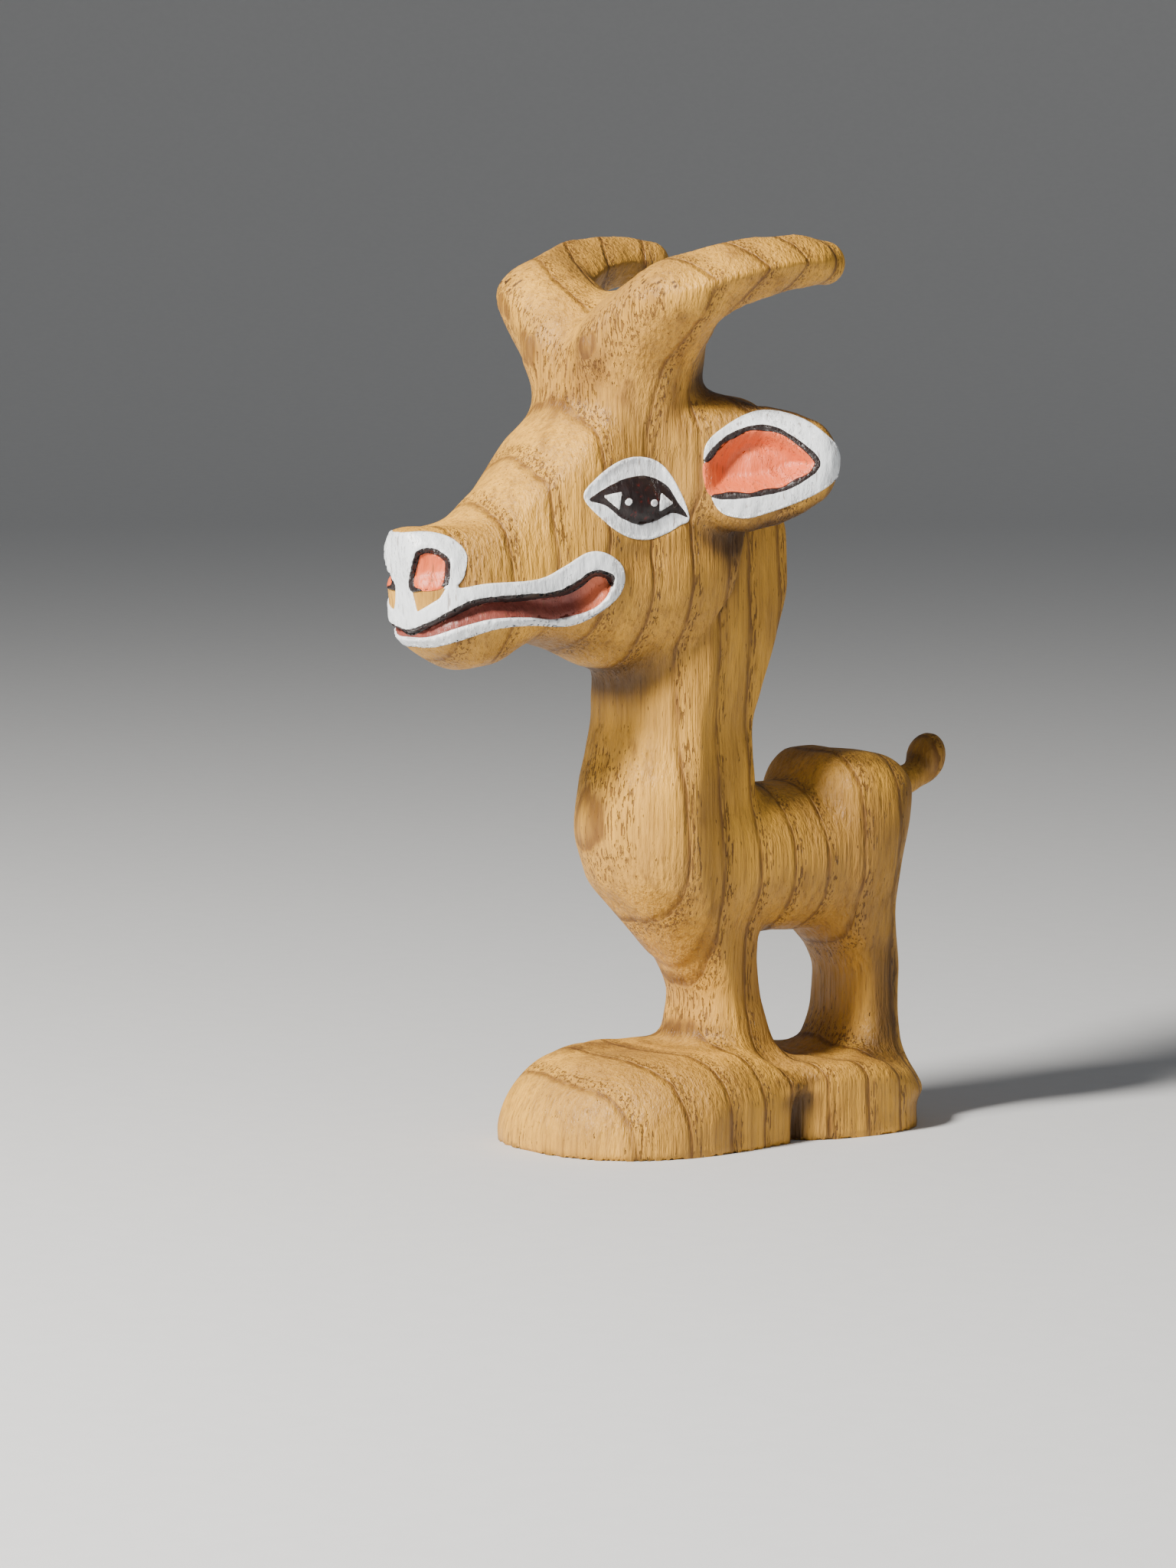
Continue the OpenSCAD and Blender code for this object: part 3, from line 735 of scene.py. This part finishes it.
class Graph:
    """Short way to lay out a material's nodes."""

    def __init__(self, name):
        self.material = bpy.data.materials.new(name)
        self.material.use_nodes = True
        self.nodes = self.material.node_tree.nodes
        self.links = self.material.node_tree.links
        self.nodes.clear()

    def node(self, kind, **settings):
        made = self.nodes.new(kind)
        for key, value in settings.items():
            setattr(made, key, value)
        return made

    def put(self, socket, value):
        if isinstance(value, bpy.types.NodeSocket):
            self.links.new(value, socket)
        else:
            socket.default_value = value

    def place(self, scale=(1000, 1000, 1000), shift=(0, 0, 0)):
        """Object coordinates, scaled on each axis: millimetres where no scale is given."""
        coordinates = self.node("ShaderNodeTexCoord")
        made = self.node("ShaderNodeMapping")
        self.put(made.inputs["Vector"], coordinates.outputs["Object"])
        made.inputs["Scale"].default_value = [v * 1.0 for v in scale]
        made.inputs["Location"].default_value = shift
        return made.outputs["Vector"]

    def math(self, operation, a, b=0.0, clamp=False):
        made = self.node("ShaderNodeMath", operation=operation, use_clamp=clamp)
        self.put(made.inputs[0], a)
        self.put(made.inputs[1], b)
        return made.outputs[0]

    def times(self, a, b):
        return self.math("MULTIPLY", a, b)

    def noise(self, scale, detail=2.0, rough=0.5, shift=(0, 0, 0)):
        """Noise over the object, with waves of 1 / scale metres on each axis."""
        place = self.place(scale, shift)
        made = self.node("ShaderNodeTexNoise")
        self.put(made.inputs["Vector"], place)
        made.inputs["Scale"].default_value = 1.0
        made.inputs["Detail"].default_value = detail
        made.inputs["Roughness"].default_value = rough
        return made.outputs["Fac"]

    def span(self, value, low, high, to_low=0.0, to_high=1.0):
        made = self.node("ShaderNodeMapRange", interpolation_type="SMOOTHSTEP")
        self.put(made.inputs["Value"], value)
        for key, number in (("From Min", low), ("From Max", high), ("To Min", to_low), ("To Max", to_high)):
            made.inputs[key].default_value = number
        return made.outputs["Result"]

    def mix(self, share, a, b):
        made = self.node("ShaderNodeMix", data_type="RGBA")
        self.put(made.inputs["Factor"], share)
        for key, value in (("A", a), ("B", b)):
            socket = [i for i in made.inputs if i.name == key and i.type == "RGBA"][0]
            self.put(socket, value if isinstance(value, bpy.types.NodeSocket) else (*value, 1.0))
        return [o for o in made.outputs if o.type == "RGBA"][0]

    def attribute(self, name):
        return self.node("ShaderNodeAttribute", attribute_name=name).outputs["Fac"]

    def parts(self, vector):
        made = self.node("ShaderNodeSeparateXYZ")
        self.put(made.inputs[0], vector)
        return made.outputs

    def bump(self, height, strength, distance):
        made = self.node("ShaderNodeBump")
        made.inputs["Strength"].default_value = strength
        made.inputs["Distance"].default_value = distance * MM
        self.put(made.inputs["Height"], height)
        return made.outputs["Normal"]

    def finish(self, color, roughness, normal, coat=0.0, coat_roughness=0.3, specular=0.5):
        shader = self.node("ShaderNodeBsdfPrincipled")
        for key, value in (("Base Color", color), ("Roughness", roughness), ("Normal", normal),
                           ("Coat Weight", coat), ("Coat Roughness", coat_roughness),
                           ("Coat Normal", normal), ("Specular IOR Level", specular)):
            self.put(shader.inputs[key], value)
        end = self.node("ShaderNodeOutputMaterial")
        self.put(end.inputs["Surface"], shader.outputs["BSDF"])
        return self.material


def tint(hexa):
    """Linear colour of an sRGB hex value."""
    out = []
    for i in (0, 2, 4):
        c = int(hexa[i:i + 2], 16) / 255
        out.append(c / 12.92 if c <= 0.04045 else ((c + 0.055) / 1.055) ** 2.4)
    return tuple(out)


def pore_streaks(g):
    """Short upright open pores, and where along each growth ring they lie thickest."""
    x, y, z = g.parts(g.place())
    sway = g.times(g.noise((34, 34, 9), 1.0), 6.0)
    shiver = g.times(g.noise((700, 700, 190), 2.0), 0.5)
    bend = g.times(g.times(x, x), 0.012)
    lean = g.times(z, 0.02)
    along = g.math("ADD", g.math("SUBTRACT", y, bend), g.math("ADD", lean, g.math("ADD", sway, shiver)))
    ring = g.math("FRACT", g.math("DIVIDE", along, RING_WIDTH))
    fine = g.noise((3900, 3900, 560), 2.0, 0.6)
    zone = g.math("ADD", g.span(ring, 0.05, 0.4, 1.0, 0.0), g.span(ring, 0.96, 1.0, 0.0, 1.0), clamp=True)
    need = g.span(zone, 0.0, 1.0, 0.69, 0.55)
    pore = g.span(g.math("SUBTRACT", fine, need), 0.0, 0.05)
    return ring, zone, pore


def wood_material(settings):
    """Bare wood: growth rings, fibres, open pores, stains, and painted shade that darkens the hollows."""
    g = Graph("carved_light_wood")
    ring, zone, pore = pore_streaks(g)
    light, mid, deep = (tuple(c) for c in (settings.light_color, settings.mid_color, settings.deep_color))
    broad = g.noise((75, 75, 34), 3.0, 0.55)
    fibre = g.noise((2300, 2300, 60), 3.0, 0.6)
    grain = g.noise((700, 700, 26), 2.0, 0.5)
    color = g.mix(g.span(broad, 0.36, 0.66), light, mid)
    color = g.mix(g.span(grain, 0.4, 0.72, 0.0, 0.55), color, mid)
    color = g.mix(g.span(fibre, 0.42, 0.78, 0.0, 0.5), color, deep)
    color = g.mix(g.times(g.span(ring, 0.55, 0.97), 0.34), color, mid)
    edge = g.times(g.span(ring, 0.84, 0.955), g.span(ring, 0.965, 0.995, 1.0, 0.0))
    torn = g.span(g.noise((900, 900, 240), 3.0), 0.3, 0.55, 0.35, 1.0)
    color = g.mix(g.times(g.times(edge, torn), 0.72), color, deep)
    color = g.mix(g.times(zone, 0.22), color, mid)
    color = g.mix(g.times(pore, 0.7), color, deep)
    stain = g.span(g.noise((120, 120, 70), 3.0, 0.6, shift=(3, 1, 8)), 0.56, 0.74, 0.0, 0.55)
    color = g.mix(stain, color, deep)
    # Painted shade: the wood turns dark brown where the carving encloses the skin, as under the jaw and round
    # the horn's root
    recess_shade = g.span(g.attribute("recess_shade"), 0.09, 0.52, 0.0, 0.9)
    color = g.mix(recess_shade, color, tuple(settings.hollow_shade_color))
    rough = g.noise((1900, 1900, 330), 3.0, 0.6)
    height = g.math("ADD", g.times(fibre, 0.45), g.times(rough, 0.4))
    height = g.math("SUBTRACT", height, g.times(pore, 0.75))
    height = g.math("SUBTRACT", height, g.times(zone, 0.12))
    height = g.math("SUBTRACT", height, g.times(edge, 0.3))
    normal = g.bump(height, settings.relief, 0.62)
    gloss = g.span(g.noise((1500, 1500, 400), 2.0), 0.35, 0.7, 0.44, 0.66)
    return g.finish(color, gloss, normal, 0.04, 0.35, 0.34)


def paint_material(name, color, worn, roughness, streak, extra=None):
    """Thick hand-brushed paint with the wood's pores showing through it."""
    g = Graph(name)
    worn_through = tint(WOOD_UNDER_PAINT if max(color) > 0.1 else WOOD_UNDER_BLACK)
    zone_pore = pore_streaks(g)[2]
    brush = g.noise((1500, 1500, 420), 3.0, 0.6)
    blotch = g.noise((420, 420, 420), 2.0, shift=(5, 3, 1))
    shade = g.mix(g.span(brush, 0.3, 0.75, 0.0, 0.35), color, worn)
    shade = g.mix(g.span(blotch, 0.5, 0.75, 0.0, 0.3), shade, worn)
    crack = g.span(g.noise((2600, 2600, 260), 2.0, shift=(2, 7, 4)), 0.64, 0.70, 0.0, 0.55)
    shade = g.mix(g.math("MAXIMUM", crack, g.times(zone_pore, 0.12)), shade, worn_through)
    if extra:
        shade = extra(g, shade)
    lift = g.math("ADD", g.times(brush, streak), g.times(blotch, 0.5))
    lift = g.math("SUBTRACT", lift, g.times(zone_pore, 0.5))
    normal = g.bump(lift, 0.85, 0.26)
    return g.finish(shade, roughness, normal, 0.12, 0.35, 0.5)


def lining_blend(g, shade):
    """The mouth's brown lining turns to salmon at its rear corner."""
    return g.mix(g.attribute("rear"), shade, tint(MOUTH_CORNER_SALMON))


def iris_blend(g, shade):
    """Dark red shows in patches in the middle of the eye."""
    patch = g.span(g.noise((1300, 1300, 1300), 3.0, 0.7, shift=(1, 2, 3)), 0.55, 0.7, 0.0, 0.8)
    return g.mix(g.times(patch, g.attribute("iris")), shade, tint(IRIS_RED))


def paint(obj, material, node_names):
    """Gives a piece its material, hangs it under the root body and hides the CAD nodes that it stands for."""
    obj.data.materials.append(material)
    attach(obj, "root")
    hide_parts(*node_names)


# ---- settings

def color_setting(name, description, default):
    return FloatVectorProperty(name=name, description=description, subtype="COLOR", size=3, default=default)


def length_setting(name, description, millimetres):
    return FloatProperty(name=name, description=description, default=millimetres * MM, min=0, unit="LENGTH")


def strength_setting(name, description, default, **limits):
    return FloatProperty(name=name, description=description, default=default, min=0, **limits)


class CarvingWood(bpy.types.PropertyGroup):
    light_color: color_setting("Light wood", "Colour of the palest early wood", tint("E6AA3E"))
    mid_color: color_setting("Honey wood", "Colour of most of the wood", tint("B28236"))
    deep_color: color_setting("Late wood", "Colour of ring lines, pores and stains", tint("5E3816"))
    # Colour of the painted shade in the carved hollows
    hollow_shade_color: color_setting("Hollow shade", "Painted shade laid in the carved hollows", tint("3C2410"))
    relief: strength_setting("Grain relief", "Strength of the fibres and pores", 0.9, max=1)


class CarvingPaint(bpy.types.PropertyGroup):
    white_depth: length_setting("White thickness", "Thickness of the white paint", 0.15)
    line_depth: length_setting("Line thickness", "Height of the black lines over the wood", 0.21)
    line_width: length_setting("Line width", "Width of the black brush lines", 0.62)
    white: color_setting("White", "White paint", tint("F3F7FA"))
    black: color_setting("Black", "Black paint", tint("1E1414"))
    salmon: color_setting("Salmon", "Paint in the ears and nostrils", tint("E4642F"))
    lining: color_setting("Mouth", "Paint in the mouth", tint("8E483C"))


class CarvingStage(bpy.types.PropertyGroup):
    floor_color: color_setting("Floor", "Colour of the plain floor", (0.66, 0.665, 0.67))
    key_power: strength_setting("Key light", "Power of the main soft light", 13.0, unit="POWER")
    fill_power: strength_setting("Fill light", "Power of the weaker soft light", 0.45, unit="POWER")
    sky: strength_setting("Room light", "Strength of the even light all round", 0.15)


# ---- operators

class CARVING_OT_wood(bpy.types.Operator):
    """Build the carved wooden figure"""
    bl_idname = "carving.wood"
    bl_label = "Wooden figure"

    def execute(self, context):
        points, quads, recess_shade = carve_wood()
        obj = new_mesh("wood_figure", points, quads, {"recess_shade": recess_shade})
        paint(obj, wood_material(context.scene.carving_wood), ["carved_body"])
        return {"FINISHED"}


def make_paints(context):
    """The paints' materials, made once."""
    p = context.scene.carving_paint
    if "white_brush_paint" not in bpy.data.materials:
        for kind, color, worn, roughness, streak, extra in (
                ("white", p.white, "C9CDD0", 0.38, 0.7, None), ("black", p.black, "2E201E", 0.46, 0.4, None),
                ("iris", p.black, "2E201E", 0.36, 0.4, iris_blend),
                ("salmon", p.salmon, "C9522A", 0.5, 0.6, None),
                ("lining", p.lining, "6A302A", 0.45, 0.7, lining_blend)):
            paint_material(f"{kind}_brush_paint", tuple(color), tint(worn), roughness, streak, extra)


def add_coat(context, name, value, thickness, mask, kind, node, **settings):
    """One coat of one kind of paint, which stands in for one CAD node."""
    obj = paint_coat(name, value, thickness, mask, **settings)
    make_paints(context)
    paint(obj, bpy.data.materials[f"{kind}_brush_paint"], [node])


def mouth_inside(s, z):
    return inside_depth(MOUTH_LINE, s, z)


class CARVING_OT_muzzle(bpy.types.Operator):
    """Paint the white band round the nose and mouth"""
    bl_idname = "carving.muzzle"
    bl_label = "White muzzle band"

    def execute(self, context):
        p = context.scene.carving_paint

        def band(s, z):
            d = np.minimum(inside_depth(MUZZLE_LINE, s, z), 0.08 - mouth_inside(s, z))
            d = np.minimum(d, 0.18 - inside_depth(NOSTRIL_LINE, s, z))
            return np.minimum(d, -inside_depth(WEDGE_LINE, s, z))
        add_coat(context, "muzzle_white_band", band, p.white_depth / MM, on_head(0), "white",
                 "muzzle_outline")
        return {"FINISHED"}


class CARVING_OT_mouth(bpy.types.Operator):
    """Paint the lining of the mouth and the black line over it"""
    bl_idname = "carving.mouth"
    bl_label = "Mouth"

    def execute(self, context):
        p = context.scene.carving_paint
        width = p.line_width / MM

        def lining(s, z):
            under_line = line_distance(MOUTH_TOP_LINE, s, z, False) - width * .6
            return np.minimum(mouth_inside(s, z) - 0.02, under_line)

        def line(s, z):
            reach = width * (1 + 0.25 * np.sin(s * 1.1) + 0.3 * ramp((s + 12) / 5))
            reach = reach - line_distance(MOUTH_TOP_LINE, s, z, False)
            return np.minimum(mouth_inside(s, z) + 0.22, reach)

        def rear(s, z):
            return ramp((s + 10.4) / 3.2)
        add_coat(context, "mouth_lining_coat", lining, LINING_DEPTH, on_head(0), "lining", "mouth_lining",
                 extra={"rear": rear})
        add_coat(context, "mouth_black_stroke", line, p.line_depth / MM, on_head(0), "black", "mouth_line")
        return {"FINISHED"}


class CARVING_OT_nostrils(bpy.types.Operator):
    """Paint the nostrils' lining and the black arch round it"""
    bl_idname = "carving.nostrils"
    bl_label = "Nostrils"

    def execute(self, context):
        p = context.scene.carving_paint
        width = p.line_width / MM * 1.05

        def lining(s, z):
            return inside_depth(NOSTRIL_LINE, s, z) - width * .45

        def line(s, z):
            d = inside_depth(NOSTRIL_LINE, s, z)
            return np.minimum(np.minimum(d + 0.14, width * .85 - d), z - 61.5 - 0.2 * (s + 25))
        for side, word in SIDES:
            mask = on_head(side)
            add_coat(context, f"nostril_lining_{word}", lining, LINING_DEPTH, mask, "salmon",
                     f"{word}_nostril_lining")
            add_coat(context, f"nostril_arch_{word}", line, p.line_depth / MM, mask, "black",
                     f"{word}_nostril_line")
        return {"FINISHED"}


class CARVING_OT_eyes(bpy.types.Operator):
    """Paint the eyes: white surround, black lids and iris, white corners and catchlights"""
    bl_idname = "carving.eyes"
    bl_label = "Eyes"

    def execute(self, context):
        p = context.scene.carving_paint
        white, line = p.white_depth / MM, p.line_depth / MM

        def surround(s, z):
            return np.minimum(inside_depth(EYE_LINE, s, z), 0.3 - inside_depth(EYE_BLACK_LINE, s, z))

        def black(s, z):
            return inside_depth(EYE_BLACK_LINE, s, z)

        def corners(s, z):
            return np.maximum(*(inside_depth(c, s, z) for c in EYE_CORNER_LINES)) + 0.13

        def lights(s, z):
            return CATCHLIGHT_R - np.minimum(*(np.hypot(s - a, z - b) for a, b in CATCHLIGHTS))

        def iris(s, z):
            return ramp((IRIS_R - np.hypot(s - IRIS[0], (z - IRIS[1]) * .9)) / .6)
        for side, word in SIDES:
            mask = on_head(side)
            add_coat(context, f"eye_white_{word}", surround, white, mask, "white", f"{word}_eye_surround")
            add_coat(context, f"eye_black_{word}", black, line, mask, "iris", f"{word}_eye_black",
                     extra={"iris": iris})
            add_coat(context, f"eye_corners_{word}", corners, line + 0.07, mask, "white",
                     f"{word}_eye_corners", edge=0.16)
            add_coat(context, f"eye_catchlights_{word}", lights, line + 0.10, mask, "white",
                     f"{word}_eye_catchlights", edge=0.16)
        return {"FINISHED"}


class CARVING_OT_ears(bpy.types.Operator):
    """Paint the ears: white rim, black line and salmon cup"""
    bl_idname = "carving.ears"
    bl_label = "Ears"

    def execute(self, context):
        p = context.scene.carving_paint
        width = p.line_width / MM * .82

        def cup(s, z):
            return inside_depth(EAR_CUP_LINE, s, z)

        def rim(s, z):
            return np.minimum(inside_depth(EAR_LINE, s, z), 0.2 - cup(s, z))

        def line(s, z):
            along = width * (1 + 0.2 * np.sin(s * 1.7 + z)) - line_distance(EAR_RIM_LINE, s, z, False)
            return np.minimum(cup(s, z) + 0.12, along)

        def lining(s, z):
            return np.minimum(cup(s, z), line_distance(EAR_RIM_LINE, s, z, False) - width * .5)
        for side, word in SIDES:
            mask = on_ear(side)
            add_coat(context, f"ear_white_{word}", rim, p.white_depth / MM, mask, "white", f"{word}_ear_rim")
            add_coat(context, f"ear_cup_{word}", lining, LINING_DEPTH, mask, "salmon", f"{word}_ear_lining")
            add_coat(context, f"ear_black_{word}", line, p.line_depth / MM, mask, "black", f"{word}_ear_line")
        return {"FINISHED"}


def soft_light(name, place, size, power, color):
    """Round area light turned to the figure's middle."""
    data = bpy.data.lights.new(name, "AREA")
    data.shape, data.size, data.energy, data.color = "DISK", size, power, color
    obj = bpy.data.objects.new(name, data)
    way = np.array(LIGHT_TARGET, float) - np.array(place, float)
    flat = math.hypot(way[0], way[1])
    obj.location = place
    obj.rotation_euler = (math.pi / 2 + math.atan2(way[2], flat), 0, math.atan2(way[1], way[0]) - math.pi / 2)
    bpy.context.scene.collection.objects.link(obj)


def cove_floor():
    """Floor that turns up in a wide round cove, too far away for its edge to be seen."""
    turn = np.linspace(0, math.pi * 2, COVE_SIDES + 1)[:-1]
    bow = np.linspace(0, math.pi / 2, 13)
    radii = np.concatenate([[300, 900], COVE_START + COVE_WIDTH * np.sin(bow)])
    heights = np.concatenate([[0, 0], COVE_RISE * (1 - np.cos(bow))])
    rings = [np.stack([r * np.cos(turn), r * np.sin(turn), 0 * turn + h], -1)
             for r, h in zip(radii, heights)]
    i = np.arange(COVE_SIDES)
    after = (i + 1) % COVE_SIDES
    walls = []
    for k in range(len(rings) - 1):
        low, high = k * COVE_SIDES, (k + 1) * COVE_SIDES
        walls.append(np.stack([high + i, high + after, low + after, low + i], -1))
    walls = np.concatenate(walls)
    fan = np.stack([0 * i + len(rings) * COVE_SIDES, i, after], -1)
    points = np.concatenate(rings + [np.zeros((1, 3))])
    return new_mesh("stage_floor", points, np.concatenate([walls[:, [0, 1, 2]], walls[:, [0, 2, 3]], fan]))


class CARVING_OT_stage(bpy.types.Operator):
    """Set the plain floor, the soft light and the camera"""
    bl_idname = "carving.stage"
    bl_label = "Stage"

    def execute(self, context):
        t = context.scene.carving_stage
        floor = cove_floor()
        g = Graph("plain_floor")
        speck = g.noise((300, 300, 300), 2.0)
        shade = g.mix(g.span(speck, 0.4, 0.6, 0.0, 0.06), tuple(t.floor_color), (0.5, 0.51, 0.52))
        floor.data.materials.append(g.finish(shade, 0.75, g.bump(speck, 0.1, 0.2)))
        soft_light("key_light", (0.08, -0.53, 0.47), 0.14, t.key_power, (1.0, 0.965, 0.91))
        soft_light("fill_light", (0.62, -0.05, 0.30), 0.5, t.fill_power, (0.90, 0.95, 1.0))
        world = bpy.data.worlds.new("soft_room")
        world.use_nodes = True
        air = world.node_tree.nodes["Background"]
        air.inputs["Color"].default_value = (0.93, 0.96, 1.0, 1)
        air.inputs["Strength"].default_value = t.sky
        context.scene.world = world
        camera = bpy.data.cameras.new("view")
        camera.sensor_fit, camera.sensor_width, camera.lens = "AUTO", 36.0, CAMERA_LENS
        camera.clip_start, camera.clip_end = 0.01, 20.0
        obj = bpy.data.objects.new("view", camera)
        obj.location = CAMERA_PLACE
        obj.rotation_euler = (math.radians(90 - CAMERA_DIP), 0, FACE_TURN)
        context.scene.collection.objects.link(obj)
        context.scene.camera = obj
        return {"FINISHED"}


class CARVING_PT_panel(bpy.types.Panel):
    bl_label = "Carved animal"
    bl_idname = "CARVING_PT_panel"
    bl_space_type = "VIEW_3D"
    bl_region_type = "UI"
    bl_category = "Carving"

    def draw(self, context):
        for group in (context.scene.carving_wood, context.scene.carving_paint, context.scene.carving_stage):
            box = self.layout.box()
            for key in group.bl_rna.properties.keys():
                if key not in ("rna_type", "name"):
                    box.prop(group, key)
        for operator in OPERATORS:
            self.layout.operator(operator.bl_idname)


OPERATORS = (CARVING_OT_wood, CARVING_OT_muzzle, CARVING_OT_mouth, CARVING_OT_nostrils, CARVING_OT_eyes,
             CARVING_OT_ears, CARVING_OT_stage)
GROUPS = (("carving_wood", CarvingWood), ("carving_paint", CarvingPaint), ("carving_stage", CarvingStage))


def register():
    for name, group in GROUPS:
        bpy.utils.register_class(group)
        setattr(bpy.types.Scene, name, PointerProperty(type=group))
    for operator in OPERATORS:
        bpy.utils.register_class(operator)
    bpy.utils.register_class(CARVING_PT_panel)


def unregister():
    bpy.utils.unregister_class(CARVING_PT_panel)
    for operator in reversed(OPERATORS):
        bpy.utils.unregister_class(operator)
    for name, group in reversed(GROUPS):
        delattr(bpy.types.Scene, name)
        bpy.utils.unregister_class(group)


def main():
    register()
    bpy.ops.carving.wood()
    bpy.ops.carving.muzzle()
    bpy.ops.carving.mouth()
    bpy.ops.carving.nostrils()
    bpy.ops.carving.eyes()
    bpy.ops.carving.ears()
    bpy.ops.carving.stage()


if __name__ == "__main__":
    main()
